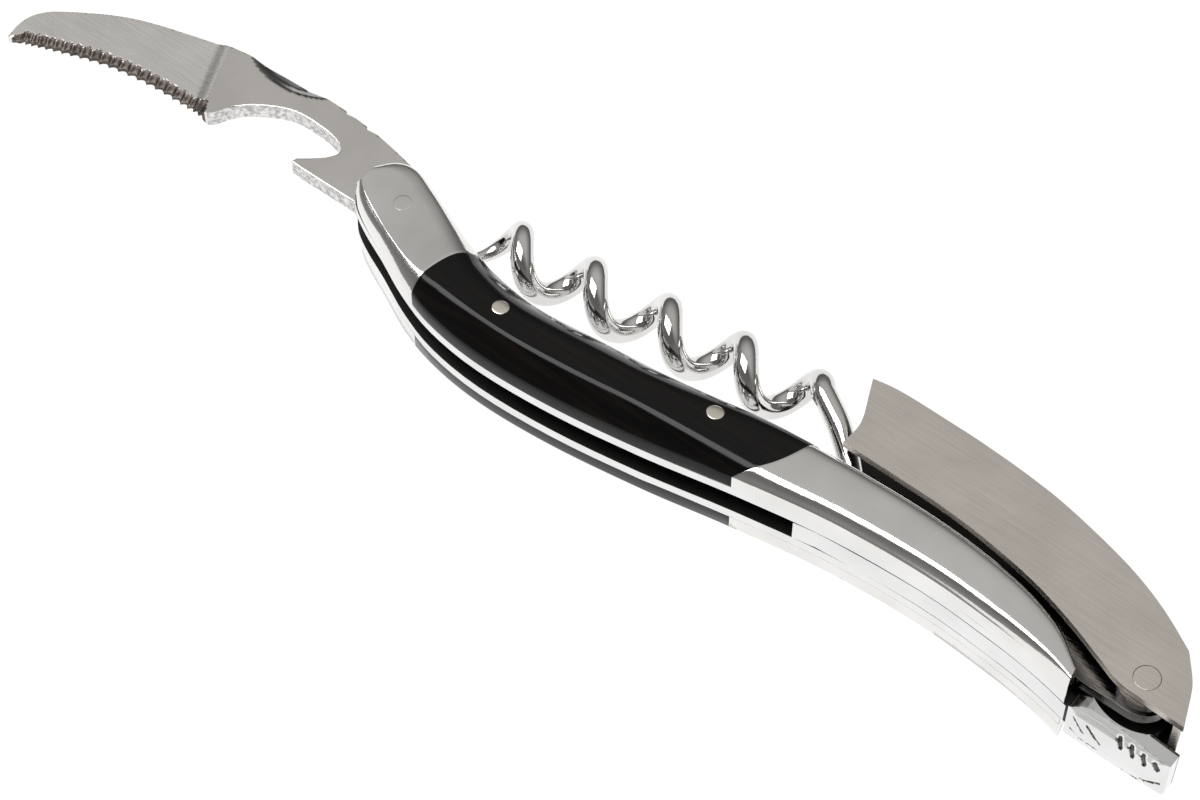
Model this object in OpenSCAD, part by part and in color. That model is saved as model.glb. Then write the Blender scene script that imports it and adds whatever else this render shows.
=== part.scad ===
// Curved-handle waiter's corkscrew: foil cutter with cap lifter, five-turn worm and forked bottle lever.
// It lies on its side: X runs along the handle towards the lever pivot, Y points to the belly side, where
// the worm and the lever fold, and Z is the direction of every pivot pin.

/* [Handle] */
// Thickness of each steel liner
liner_t = 1.5; // [1.3:0.1:1.5]
// Clear gap between the two liners
liner_gap = 3.2; // [3.2:0.1:3.4]
// Height of the bolsters over the liner at their crest
crown_h = 3.5; // [3:0.1:3.8]
// Extra height of the scales in the middle of the handle
swell_h = 1.3; // [0:0.1:1.6]
// Radius of the four scale rivets
scale_rivet_r = 1.1; // [0.9:0.05:1.3]

/* [Blade] */
// Thickness of the blade
blade_t = 2.4; // [2:0.1:2.6]
// Radius of the blade pivot pin
blade_pin_r = 1.25; // [1:0.05:1.5]
// Number of scallops along the cutting edge
teeth = 23; // [12:1:28]
// Depth of each scallop
tooth_depth = 0.45; // [0.2:0.05:0.6]

/* [Worm] */
// Diameter of the wire
wire_d = 3; // [2.6:0.1:3]
// Outer diameter of the coil
coil_d = 8.8; // [8:0.1:8.8]
// Advance of the helix for one turn
pitch = 10.5; // [10:0.1:11]
// Radius of the worm's pivot pin
worm_pin_r = 1.2; // [1:0.05:1.3]

/* [Lever] */
// Thickness of the lever's two walls and its web
lever_wall = 1; // [0.8:0.1:1.2]
// Clear width between the two walls
lever_inner_w = 9.4; // [9.4:0.1:9.8]
// Radius of the lever's pivot rivet
lever_pin_r = 1.55; // [1.2:0.05:1.7]

/* [Hidden] */
$fn = 64;

// ---- heights, measured from the middle plane of the handle
liner_in = liner_gap / 2;
liner_out = liner_in + liner_t;
bolster_crest = liner_out + crown_h;
crest = bolster_crest + swell_h;
run_fit = 0.05;
side_gap = 0.05;
big = 200;

// ---- pivots, in the profile plane
blade_pivot = [-53.1, 0];
lever_pivot = [53.1, 0];
worm_pivot = [14, 1.2];
front_rivet = [-33.3, -5.6];
rear_rivet = [-4.7, -1.7];
spring_front = [-12, -0.8];
spring_rear = [0.5, 1.1];
lever_spring_front = [21, -2.6];
lever_spring_rear = [36, -2.9];
spring_pin_r = 0.8;

// ---- the handle's two edges, in pairs of points across it from the nose to the tail
back_points = [
    [-60.4, -0.6], [-58.8, -2.2], [-56, -3.8], [-52, -5.6], [-46.6, -8.2],
    [-40.5, -10.2], [-32.5, -11.1], [-22, -10.6], [-10, -8.9], [2, -6.5],
    [14, -4.6], [26, -3.9], [36, -4.4], [42.5, -5.2], [46.8, -6.1]
];
belly_points = [
    [-60.3, 2.8], [-58.4, 5.1], [-55.6, 5.8], [-51.2, 4.2], [-45, 1.8],
    [-39, 0.2], [-32, -0.5], [-23, 0.3], [-11.5, 1.4], [0.5, 2.8],
    [13, 3.5], [24.5, 3.5], [34.5, 2.3], [41.5, 0], [46.4, -3.7]
];
nose = [-60.7, 1.1];
tang_r = 3.4;

// ---- curved joints between the scales and the bolsters
front_joint = [-28.4, -8.75];
front_joint_r = 15.8;
rear_joint = [-9, 4.9];
rear_joint_r = 15.5;

// Placing the whole model so that it stands on the ground, centred over the origin
ground_shift = [26.7, -1.87, crest];

// ---------------------------------------------------------------- curves
// A smooth curve through points: steps sub-divisions for each span
function bend(a, b, c, d, t) =
    0.5 * (2 * b + (c - a) * t + (2 * a - 5 * b + 4 * c - d) * t * t
    + (3 * b - a - 3 * c + d) * t * t * t);
function curve(p, steps = 4) = [
    for (i = [0 : len(p) - 2])
        for (k = [0 : steps - 1])
            bend(p[max(i - 1, 0)], p[i], p[i + 1], p[min(i + 2, len(p) - 1)], k / steps),
    p[len(p) - 1]
];
function backwards(p) = [for (i = [len(p) - 1 : -1 : 0]) p[i]];
function unit(v) = v / norm(v);
function shift_all(p, by) = [for (q = p) q + by];
function arc(centre, r, from, to, steps = 12) = [
    for (i = [0 : steps]) centre + r * [cos(from + (to - from) * i / steps), sin(from + (to - from) * i / steps)]
];
// Left-hand normal of a polyline at point i
function side_of(p, i) =
    let (d = unit(p[min(i + 1, len(p) - 1)] - p[max(i - 1, 0)]))
    [-d[1], d[0]];
function offset_line(p, by) = [for (i = [0 : len(p) - 1]) p[i] + by * side_of(p, i)];

module place() {
    translate(ground_shift) children();
}

// A plate with the given outline between two heights
module plate(outline, from, to) {
    translate([0, 0, from]) linear_extrude(height = to - from) polygon(outline);
}

module pin(at, r, from, to) {
    translate([at[0], at[1], from]) cylinder(r = r, h = to - from);
}

// ---------------------------------------------------------------- handle
handle_outline = concat([nose], curve(belly_points), backwards(curve(back_points)));

// The rear part of each liner rises inside the lever and ends in the tang that holds its rivet
cheek_top = curve([
    [7.6, 2.4], [10, 3.7], [13, 4.6], [20, 4.7], [29, 4.2], [36, 3.1], [43, 2.4], [50, 3.1], lever_pivot + [0, tang_r]
]);
cheek_outline = concat(cheek_top, [lever_pivot - [0, tang_r], [47, -tang_r], [40, -2], [9, -1]]);

module liner() {
    difference() {
        union() {
            plate(handle_outline, liner_in, liner_out);
            plate(cheek_outline, liner_in, liner_out);
            pin(lever_pivot, tang_r, liner_in, liner_out);
        }
        pin(blade_pivot, blade_pin_r, 0, big);
        pin(lever_pivot, lever_pin_r, 0, big);
        pin(worm_pivot, worm_pin_r, 0, big);
        pin(front_rivet, scale_rivet_r, 0, big);
        pin(rear_rivet, scale_rivet_r, 0, big);
        for (at = [spring_front, spring_rear, lever_spring_front, lever_spring_rear])
            pin(at, spring_pin_r, 0, big);
    }
}

module liner_top() {
    color("gainsboro") place() liner();
}

module liner_bottom() {
    color("gainsboro") place() mirror([0, 0, 1]) liner();
}

// The crowned slab that the bolsters and scales are cut from. It is highest in the middle of the handle,
// where its section also leans to the back; the bolsters keep a slimmer section with higher sides.
// Each section runs from the back edge to the belly edge: share of the width, share of the crest's height
slim_section = [
    [0, 0.6], [0.02, 0.66], [0.06, 0.79], [0.12, 0.91], [0.2, 0.98], [0.35, 1],
    [0.65, 1], [0.8, 0.94], [0.9, 0.79], [0.97, 0.54], [1, 0.34]
];
full_section = [
    [0, 0.35], [0.02, 0.46], [0.1, 0.65], [0.19, 0.83], [0.27, 0.93], [0.4, 1],
    [0.55, 1], [0.7, 0.85], [0.83, 0.6], [0.94, 0.27], [1, 0.06]
];
swell_at = -24;
swell_flat = 8;
swell_run = 24;
function swell(x) =
    let (t = min(1, max(0, (abs(x - swell_at) - swell_flat) / swell_run)))
    1 - t * t * (3 - 2 * t);
function crown_ring(back, belly) =
    let (s = swell((back[0] + belly[0]) / 2), h = crown_h + swell_h * s)
    concat(
        [[back[0], back[1], liner_out]],
        [for (k = [0 : len(slim_section) - 1])
            let (at = slim_section[k] + s * (full_section[k] - slim_section[k]), q = back + at[0] * (belly - back))
            [q[0], q[1], liner_out + h * at[1]]],
        [[belly[0], belly[1], liner_out]]
    );

module crown() {
    back = curve(back_points);
    belly = curve(belly_points);
    n = len(back);
    m = len(slim_section) + 2;
    points = [for (i = [0 : n - 1]) each crown_ring(back[i], belly[i])];
    faces = concat(
        [for (i = [0 : n - 2]) for (k = [0 : m - 1])
            [i * m + k, (i + 1) * m + k, (i + 1) * m + (k + 1) % m, i * m + (k + 1) % m]],
        [[for (k = [0 : m - 1]) k]],
        [[for (k = [m - 1 : -1 : 0]) (n - 1) * m + k]]
    );
    polyhedron(points, faces, convexity = 4);
}

// Everything on the scale's side of a joint; toward is +1 or -1 along X
module beyond(joint, r, toward) {
    pin(joint, r, -1, crest + 1);
    translate([joint[0] - (toward > 0 ? 0 : big), -big / 2, -1]) cube([big, big, crest + 2]);
}

module front_bolster() {
    difference() {
        crown();
        beyond(front_joint, front_joint_r, 1);
        pin(blade_pivot, blade_pin_r, 0, big);
    }
}

module rear_bolster() {
    difference() {
        crown();
        beyond(rear_joint, rear_joint_r, -1);
    }
}

module scale_slab() {
    difference() {
        intersection() {
            crown();
            union() beyond(front_joint, front_joint_r, 1);
            union() beyond(rear_joint, rear_joint_r, -1);
        }
        pin(front_rivet, scale_rivet_r, 0, big);
        pin(rear_rivet, scale_rivet_r, 0, big);
    }
}

module front_bolster_top() {
    color("silver") place() front_bolster();
}

module front_bolster_bottom() {
    color("silver") place() mirror([0, 0, 1]) front_bolster();
}

module rear_bolster_top() {
    color("silver") place() rear_bolster();
}

module rear_bolster_bottom() {
    color("silver") place() mirror([0, 0, 1]) rear_bolster();
}

module scale_top() {
    color([0.06, 0.05, 0.05]) place() scale_slab();
}

module scale_bottom() {
    color([0.06, 0.05, 0.05]) place() mirror([0, 0, 1]) scale_slab();
}

// A scale rivet runs from the liner's inner face to the scale's crown
module scale_rivet(at) {
    pin(at, scale_rivet_r, liner_in, at[0] < swell_at ? crest - 0.05 : crest - 0.78);
}

module front_rivet_top() {
    color("lightgray") place() scale_rivet(front_rivet);
}

module rear_rivet_top() {
    color("lightgray") place() scale_rivet(rear_rivet);
}

module front_rivet_bottom() {
    color("lightgray") place() mirror([0, 0, 1]) scale_rivet(front_rivet);
}

module rear_rivet_bottom() {
    color("lightgray") place() mirror([0, 0, 1]) scale_rivet(rear_rivet);
}

module blade_pivot_pin() {
    color("silver") place() pin(blade_pivot, blade_pin_r, -bolster_crest + 0.04, bolster_crest - 0.04);
}

// ---------------------------------------------------------------- springs and pins between the liners
spring_under = curve([[-44.6, -0.2], [-42, -0.7], [-36, -1.35], [-28, -2], [-18, -2.4], [-8, -2.2], [0, -0.9], [7, 1]]);
spring_over = curve([[-46, 2.1], [-39, 0.2], [-32, -0.5], [-23, 0.3], [-11.5, 1.4], [0.5, 2.8], [7, 3.1]]);

module blade_spring() {
    color("silver") place() difference() {
        plate(concat(spring_under, backwards(spring_over)), -liner_in, liner_in);
        pin(spring_front, spring_pin_r, -big, big);
        pin(spring_rear, spring_pin_r, -big, big);
    }
}

module through_pin(at) {
    pin(at, spring_pin_r, -liner_out, liner_out);
}

module spring_front_pin() {
    color("gray") place() through_pin(spring_front);
}

module spring_rear_pin() {
    color("gray") place() through_pin(spring_rear);
}

module lever_spring_front_pin() {
    color("gray") place() through_pin(lever_spring_front);
}

module lever_spring_rear_pin() {
    color("gray") place() through_pin(lever_spring_rear);
}

module worm_pin() {
    color("gray") place() pin(worm_pivot, worm_pin_r, -liner_out, liner_out);
}

// The lever spring closes the back of the handle and ends in a forged head under the lever's heel
leaf_back = curve([[9.3, -5.3], [14, -4.6], [26, -3.9], [36, -4.4], [42.5, -5.2], [47.6, -6.3]]);
leaf_front = curve([[9.6, -3], [14, -2.3], [21, -1.1], [29, -0.9], [37, -1.8], [43, -3.2], [48.6, -4.8]]);
head_start = 47.6;
head_end = 60.6;
head_half_w = 4.1;
heel_clear_r = 5.9;
head_crest = -7.3;

// The forged head seen from the side, from behind and from its end
head_side = [
    [head_start, -4.6], [head_start, head_crest + 0.7], [50, head_crest], [58, head_crest],
    [head_end, head_crest + 0.9], [head_end, -4.5]
];
head_plan = concat(
    curve([[head_start, -2.7], [49.6, -3.9], [52, -head_half_w], [56, -3.7], [head_end, -3.1]], 3),
    backwards(curve([[head_start, 2.7], [49.6, 3.9], [52, head_half_w], [56, 3.7], [head_end, 3.1]], 3))
);
head_end_view = [
    [-4, -head_half_w], [head_crest + 1.3, -head_half_w], [head_crest + 0.3, -2.4], [head_crest, -0.8],
    [head_crest, 0.8], [head_crest + 0.3, 2.4], [head_crest + 1.3, head_half_w], [-4, head_half_w]
];

module forged_head() {
    difference() {
        intersection() {
            plate(head_side, -head_half_w, head_half_w);
            translate([0, -2, 0]) rotate([90, 0, 0]) linear_extrude(height = 8) polygon(head_plan);
            translate([head_start - 1, 0, 0]) rotate([90, 0, 90]) linear_extrude(height = 20) polygon(head_end_view);
        }
        pin(lever_pivot, heel_clear_r, -big / 2, big / 2);
    }
}

module lever_spring() {
    color("gainsboro") place() difference() {
        union() {
            plate(concat(leaf_back, backwards(leaf_front)), -liner_in + side_gap, liner_in - side_gap);
            forged_head();
        }
        pin(lever_spring_front, spring_pin_r, -big, big);
        pin(lever_spring_rear, spring_pin_r, -big, big);
    }
}

// ---------------------------------------------------------------- blade
// Points are taken from the blade's pivot, with the blade open towards -X
tang_turn_r = 4;
cutting_edge = curve([[-60.5, -6.9], [-58, -6.1], [-53.5, -4.4], [-47.5, -2.5], [-40.8, -1.5], [-34.5, -1.3], [-31.6, -1]]);
spine = curve([
    [3.3, 3.8], [-0.3, 6.3], [-4, 7.7], [-8.5, 8.8], [-14.3, 9.7], [-21.8, 10.1],
    [-33.8, 9.5], [-42.1, 7.7], [-50.5, 5], [-57.7, 0.7], [-60.1, -1.6], [-60.9, -4.1], [-60.5, -6.9]
]);
cap_notch = curve([[-31, -0.5], [-28.9, 2.7], [-24.8, 5.4], [-21.4, 6.2], [-16.8, 5.9], [-14.4, 4.7], [-15.1, 2.8], [-17.9, 0.4]]);
hook_under = [[-18.1, -0.3], [-16.5, -0.4], [-8, -0.4]];
tang_turn = arc([0, 0], tang_turn_r, -135, 49, 20);

// The scallops sit between the tip and the heel of the cutting edge
first_tooth = 0.12;
last_tooth = 0.93;
function along(p, share) =
    let (at = share * (len(p) - 1), i = min(floor(at), len(p) - 2))
    p[i] + (at - i) * (p[i + 1] - p[i]);
function toothed(p, steps = 4) = [
    p[0],
    for (i = [0 : teeth * steps])
        let (share = first_tooth + (last_tooth - first_tooth) * i / (teeth * steps))
        along(p, share) + [0, tooth_depth * abs(sin(180 * i / steps))],
    p[len(p) - 1]
];
blade_outline = concat(toothed(cutting_edge), cap_notch, hook_under, tang_turn, [for (i = [1 : len(spine) - 2]) spine[i]]);

module blade() {
    color("lightgray") place() difference() {
        plate(shift_all(blade_outline, blade_pivot), -blade_t / 2, blade_t / 2);
        pin(blade_pivot, blade_pin_r + run_fit, -big, big);
    }
}

// ---------------------------------------------------------------- worm
// The coil's axis leans a little from the handle; angle 0 on the helix is its top, at the last turn
axis_lean = 5.8;
axis_end = [-0.5, 10.2];
coil_turn_r = (coil_d - wire_d) / 2;
tip_angle = -1600;
root_angle = 80;
angle_step = 20;
wire_sides = 12;
eye_r = 2.9;
eye_t = 2.6;
function helix(a) =
    let (along_axis = pitch * a / 360)
    [
        axis_end[0] + along_axis * cos(axis_lean) - coil_turn_r * cos(a) * sin(axis_lean),
        axis_end[1] + along_axis * sin(axis_lean) + coil_turn_r * cos(a) * cos(axis_lean),
        coil_turn_r * sin(a)
    ];
// The wire thins to a point at its tip, and near the pivot so that it enters the handle
function wire_r(a) = wire_d / 2 * (1 - 0.88 * exp(-(a - tip_angle) / 90));
shank = [
    [5.4, 8.8, 2.3, 1.5], [8.1, 6.9, 1.2, 1.4], [10.5, 4.9, 0.15, 1.3], [12.4, 3, 0, 1.25], [13.6, 1.7, 0, 1.2]
];
coil_path = [for (a = [tip_angle : angle_step : root_angle]) concat(helix(a), [wire_r(a)])];
last_coil = coil_path[len(coil_path) - 1];
shank_curve = curve(concat([last_coil], shank), 3);
worm_path = concat(coil_path, [for (i = [1 : len(shank_curve) - 1]) shank_curve[i]]);
function spot(i) = [worm_path[i][0], worm_path[i][1], worm_path[i][2]];
worm_rings = len(worm_path);
function heading(i) = unit(spot(min(i + 1, worm_rings - 1)) - spot(max(i - 1, 0)));
// Each ring's first direction is carried along from the ring before, so that the wire doesn't twist
function carried(i, last) =
    let (d = last - (last * heading(i)) * heading(i))
    unit(d);
function directions(i, list) =
    i == worm_rings ? list : directions(i + 1, concat(list, [carried(i, list[i - 1])]));
ring_dirs = directions(1, [carried(0, [0, 0, 1])]);
function wire_ring(i) =
    let (a = ring_dirs[i], b = cross(heading(i), a))
    [for (k = [0 : wire_sides - 1])
        spot(i) + worm_path[i][3] * (cos(360 * k / wire_sides) * a + sin(360 * k / wire_sides) * b)];

module wire() {
    points = [for (i = [0 : worm_rings - 1]) each wire_ring(i)];
    faces = concat(
        [for (i = [0 : worm_rings - 2]) for (k = [0 : wire_sides - 1])
            [i * wire_sides + k, (i + 1) * wire_sides + k,
            (i + 1) * wire_sides + (k + 1) % wire_sides, i * wire_sides + (k + 1) % wire_sides]],
        [[for (k = [0 : wire_sides - 1]) k]],
        [[for (k = [wire_sides - 1 : -1 : 0]) (worm_rings - 1) * wire_sides + k]]
    );
    polyhedron(points, faces, convexity = 12);
}

module worm() {
    color("silver") place() difference() {
        union() {
            wire();
            pin(worm_pivot, eye_r, -eye_t / 2, eye_t / 2);
        }
        pin(worm_pivot, worm_pin_r + run_fit, -big, big);
    }
}

// ---------------------------------------------------------------- lever
// Points are taken from the lever's pivot, with the lever folded against the handle
claw = curve([[-46.8, 14.3], [-45.7, 11.8], [-44.6, 9.3], [-44.2, 7.4], [-44.4, 4.9]], 5);
wall_under = curve([
    [-44.4, 4.9], [-39.2, 4.8], [-32, 4.7], [-24.7, 4.1], [-16.8, 2.7], [-10.5, 0.8],
    [-5.6, -1.1], [-2, -2.4], [2.2, -2.6], [6.5, -2.8]
], 5);
heel = curve([[6.5, -2.8], [5.4, 0], [4.2, 2.6], [1.8, 5.7]], 6);
wall_over = curve([
    [1.8, 5.7], [-3, 8.4], [-7.7, 10.4], [-12.7, 11.9], [-19.3, 13.4], [-24.2, 14.1],
    [-30.4, 14.6], [-36.4, 14.8], [-43.3, 14.8], [-46.8, 14.3]
], 6);
lever_outline = concat(
    [for (i = [0 : len(claw) - 2]) claw[i]], [for (i = [0 : len(wall_under) - 2]) wall_under[i]],
    [for (i = [0 : len(heel) - 2]) heel[i]], [for (i = [0 : len(wall_over) - 2]) wall_over[i]]
);
lever_inner = lever_inner_w / 2;
lever_outer = lever_inner + lever_wall;
// The web joins the walls from the heel to the fork, which leaves room for the worm to swing between them
web_line = concat(
    [for (i = [6 : len(heel) - 2]) heel[i]],
    [for (q = wall_over) if (q[0] > -23.5) q]
);
web_outline = concat(web_line, backwards(offset_line(web_line, lever_wall)));

module lever() {
    color("darkgray") place() difference() {
        union() {
            plate(shift_all(lever_outline, lever_pivot), lever_inner, lever_outer);
            plate(shift_all(lever_outline, lever_pivot), -lever_outer, -lever_inner);
            plate(shift_all(web_outline, lever_pivot), -lever_outer, lever_outer);
        }
        pin(lever_pivot, lever_pin_r + run_fit, -big, big);
    }
}

module lever_rivet() {
    color("silver") place() pin(lever_pivot, lever_pin_r, -lever_outer, lever_outer);
}

module lever_washer() {
    difference() {
        pin(lever_pivot, tang_r - 0.3, liner_out, lever_inner - side_gap);
        pin(lever_pivot, lever_pin_r, 0, big);
    }
}

module lever_washer_top() {
    color("gray") place() lever_washer();
}

module lever_washer_bottom() {
    color("gray") place() mirror([0, 0, 1]) lever_washer();
}

liner_top();
liner_bottom();
front_bolster_top();
front_bolster_bottom();
rear_bolster_top();
rear_bolster_bottom();
scale_top();
scale_bottom();
front_rivet_top();
rear_rivet_top();
front_rivet_bottom();
rear_rivet_bottom();
blade_pivot_pin();
blade_spring();
spring_front_pin();
spring_rear_pin();
lever_spring();
lever_spring_front_pin();
lever_spring_rear_pin();
worm_pin();
lever_rivet();
lever_washer_top();
lever_washer_bottom();
blade();
worm();
lever();
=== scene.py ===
# %% [markdown]
# # A waiter's corkscrew in steel and ebony
#
# The knife lies on its side with the foil cutter open and the worm and the lever folded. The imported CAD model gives
# every size and every place. This lesson gives each part the form and the finish of the real one, piece by piece.

# %% The frame
import math

import bmesh
import bpy
import numpy as np
from mathutils import Matrix, Vector
from mathutils.bvhtree import BVHTree


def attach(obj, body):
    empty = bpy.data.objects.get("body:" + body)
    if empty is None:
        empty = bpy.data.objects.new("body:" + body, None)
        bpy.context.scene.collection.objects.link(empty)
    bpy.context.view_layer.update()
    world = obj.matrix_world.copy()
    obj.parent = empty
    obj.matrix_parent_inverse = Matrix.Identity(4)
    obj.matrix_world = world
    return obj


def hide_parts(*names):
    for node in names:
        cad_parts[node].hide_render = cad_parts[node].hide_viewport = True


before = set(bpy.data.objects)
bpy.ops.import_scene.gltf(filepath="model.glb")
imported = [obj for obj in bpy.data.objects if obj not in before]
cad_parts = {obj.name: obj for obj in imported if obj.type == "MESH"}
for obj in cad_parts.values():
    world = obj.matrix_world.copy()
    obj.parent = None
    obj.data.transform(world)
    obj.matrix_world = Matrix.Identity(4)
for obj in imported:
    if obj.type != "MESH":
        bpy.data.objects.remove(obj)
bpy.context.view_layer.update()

# %% [markdown]
# ## Working in millimetres
#
# A knife maker thinks in millimetres from the middle of the handle, and so do the numbers below. One matrix takes a
# finished mesh to its place in metres at the very end, and its inverse brings a copy of a CAD part to the bench.

# %% The bench
bench_origin = (0.0267, -0.00187, 0.0079)
to_place = Matrix.Translation(bench_origin) @ Matrix.Scale(0.001, 4)
to_bench = to_place.inverted()
scene = bpy.context.scene
print("bench origin in metres", bench_origin)


def copy_of(node):
    """A CAD part on the bench, with its loose triangles joined into clean faces."""
    bm = bmesh.new()
    bm.from_mesh(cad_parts[node].data)
    bm.transform(to_bench)
    bmesh.ops.remove_doubles(bm, verts=bm.verts, dist=0.002)
    bmesh.ops.dissolve_limit(bm, angle_limit=math.radians(1), verts=bm.verts, edges=bm.edges)
    return bm


# %% [markdown]
# ## Breaking edges
#
# No edge on real steel is perfectly sharp. A narrow bevel on each one catches a thread of light, so nearly every part
# goes through these two helpers: one finds the sharp edges, and the other files them round.

# %% Edges
def sharp_edges(bm, degrees=40):
    return [e for e in bm.edges if len(e.link_faces) == 2 and e.calc_face_angle(0) > math.radians(degrees)]


def soften(bm, edges, width, segments=2):
    bmesh.ops.bevel(bm, geom=edges, offset=width, offset_type="OFFSET", affect="EDGES", segments=segments,
                    profile=0.5, material=-1, clamp_overlap=True)


# %% [markdown]
# ## Handing a part over
#
# A finished mesh leaves the bench as one object that rides on a body, stands for its CAD nodes and takes its
# materials in order. Smooth shading stops at the creases. A sheet part also gets a Weighted Normal modifier, because
# its big flat faces should stay flat up to the edge of their bevels.

# %% Hand over
def hand_over(bm, name, body, nodes, materials, crease=35, flats=False):
    bm.transform(to_place)
    mesh = bpy.data.meshes.new(name)
    bm.to_mesh(mesh)
    bm.free()
    mesh.shade_smooth()
    mesh.set_sharp_from_angle(angle=math.radians(crease))
    piece = bpy.data.objects.new(name, mesh)
    scene.collection.objects.link(piece)
    for material in materials:
        mesh.materials.append(material)
    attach(piece, body)
    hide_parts(*nodes)
    if flats:
        keep_flat = piece.modifiers.new("flats stay flat", "WEIGHTED_NORMAL")
        keep_flat.keep_sharp = True
        keep_flat.weight = 100
    print(name, len(mesh.polygons), "faces")
    return piece


# %% [markdown]
# ## The camera
#
# The camera looks down from the side of the handle's back, close enough for a little perspective.

# %% Camera
eye = Vector((0.14299, -0.17962, 0.32204))
right = Vector((0.787366, 0.616486, 0)).normalized()
backward = Vector((0.353596, -0.451617, 0.819152)).normalized()
up = backward.cross(right)
camera = bpy.data.objects.new("camera", bpy.data.cameras.new("camera"))
camera.data.lens = 97.5
camera.data.sensor_width = 36
camera.data.clip_start, camera.data.clip_end = 0.01, 30
camera.matrix_world = Matrix.Translation(eye) @ Matrix((right, up, backward)).transposed().to_4x4()
scene.collection.objects.link(camera)
scene.camera = camera
print("camera at", [round(v, 3) for v in eye], "with a", camera.data.lens, "mm lens")

# %% [markdown]
# ## Building with nodes
#
# The room and every finish are node trees. Three small helpers keep them readable: one adds a node with its settings,
# one turns a range of values into another, and one mixes two values by a share.

# %% Node helpers
def node_tree(owner):
    owner.use_nodes = True
    owner.node_tree.nodes.clear()
    return owner.node_tree


def add(tree, kind, **settings):
    node = tree.nodes.new(kind)
    for key, value in settings.items():
        setattr(node, key, value)
    return node


def ramp(tree, source, low, high, to_low, to_high):
    node = add(tree, "ShaderNodeMapRange", interpolation_type="SMOOTHSTEP")
    tree.links.new(source, node.inputs["Value"])
    for socket, value in (("From Min", low), ("From Max", high), ("To Min", to_low), ("To Max", to_high)):
        node.inputs[socket].default_value = value
    return node.outputs["Result"]


def blend_values(tree, share, first, second):
    node = add(tree, "ShaderNodeMix", data_type="FLOAT")
    for socket, value in ((0, share), (2, first), (3, second)):
        if isinstance(value, (int, float)):
            node.inputs[socket].default_value = value
        else:
            tree.links.new(value, node.inputs[socket])
    return node.outputs[0]


# %% [markdown]
# ## A room for polished steel
#
# Steel shows what is round it, so the light is set by what each face of the knife looks at. The room behind the worm
# is mid grey for the flat tops, and the room on the other side is darker, which gives the steel its grey bands. The
# camera itself sees plain white where there is no knife.

# %% Room
world = bpy.data.worlds.new("studio")
scene.world = world
room = node_tree(world)
direction = add(room, "ShaderNodeSeparateXYZ")
room.links.new(add(room, "ShaderNodeTexCoord").outputs["Generated"], direction.inputs[0])
far_wall = ramp(room, direction.outputs["Z"], 0.1, 0.95, 0.13, 0.545)
near_wall = ramp(room, direction.outputs["Z"], 0.0, 0.8, 0.26, 0.14)
side = ramp(room, direction.outputs["Y"], -0.25, 0.3, 0, 1)
walls = blend_values(room, side, near_wall, far_wall)
seen = blend_values(room, add(room, "ShaderNodeLightPath").outputs["Is Camera Ray"], walls, 1.0)
background = add(room, "ShaderNodeBackground")
room.links.new(seen, background.inputs["Strength"])
background.inputs["Color"].default_value = (1, 0.99, 0.97, 1)
room.links.new(background.outputs[0], add(room, "ShaderNodeOutputWorld").inputs[0])
scene.view_settings.view_transform = "Standard"
print("room", len(room.nodes), "nodes")

# %% [markdown]
# ## One softbox
#
# A single large softbox hangs overhead towards the back of the handle and draws a crisp white line along each rounded
# shoulder. Its power is counted from its area, so that it stays as bright to look at if its size is changed.

# %% Softbox
box_length, box_width, box_brightness = 2.4, 1.28, 5.0
softbox = bpy.data.objects.new("softbox", bpy.data.lights.new("softbox", "AREA"))
softbox.data.shape = "RECTANGLE"
softbox.data.size, softbox.data.size_y = box_length, box_width
softbox.data.energy = box_brightness * math.pi * box_length * box_width
softbox.location = (-0.88, -0.57, 2.0)
scene.collection.objects.link(softbox)
print("softbox", round(softbox.data.energy), "W")

# %% [markdown]
# ## The light table
#
# The knife lies on a sheet that glows white from below. A grey floor would turn the straight sides of the handle grey,
# and this one makes them bright, as the real ones are.

# %% Light table
table_mesh = bpy.data.meshes.new("light_table")
bm = bmesh.new()
bmesh.ops.create_grid(bm, x_segments=1, y_segments=1, size=4)
bm.to_mesh(table_mesh)
bm.free()
light_table = bpy.data.objects.new("light_table", table_mesh)
scene.collection.objects.link(light_table)
glow = bpy.data.materials.new("light_table_white")
tree = node_tree(glow)
lamp = add(tree, "ShaderNodeEmission")
lamp.inputs["Color"].default_value = (1, 1, 1, 1)
lamp.inputs["Strength"].default_value = 1.06
tree.links.new(lamp.outputs[0], add(tree, "ShaderNodeOutputMaterial").inputs[0])
table_mesh.materials.append(glow)
print("light table", [round(v) for v in light_table.dimensions[:2]], "m")

# %% [markdown]
# ## Steel finishes
#
# Every steel part has its own finish, and they differ in how far the last polish went. Each is a metal shader whose
# roughness wanders a little, with long thin scratches that follow the way the part was rubbed. The scratches are a
# noise pattern that is stretched along one direction, so they cost nothing in geometry.

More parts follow.
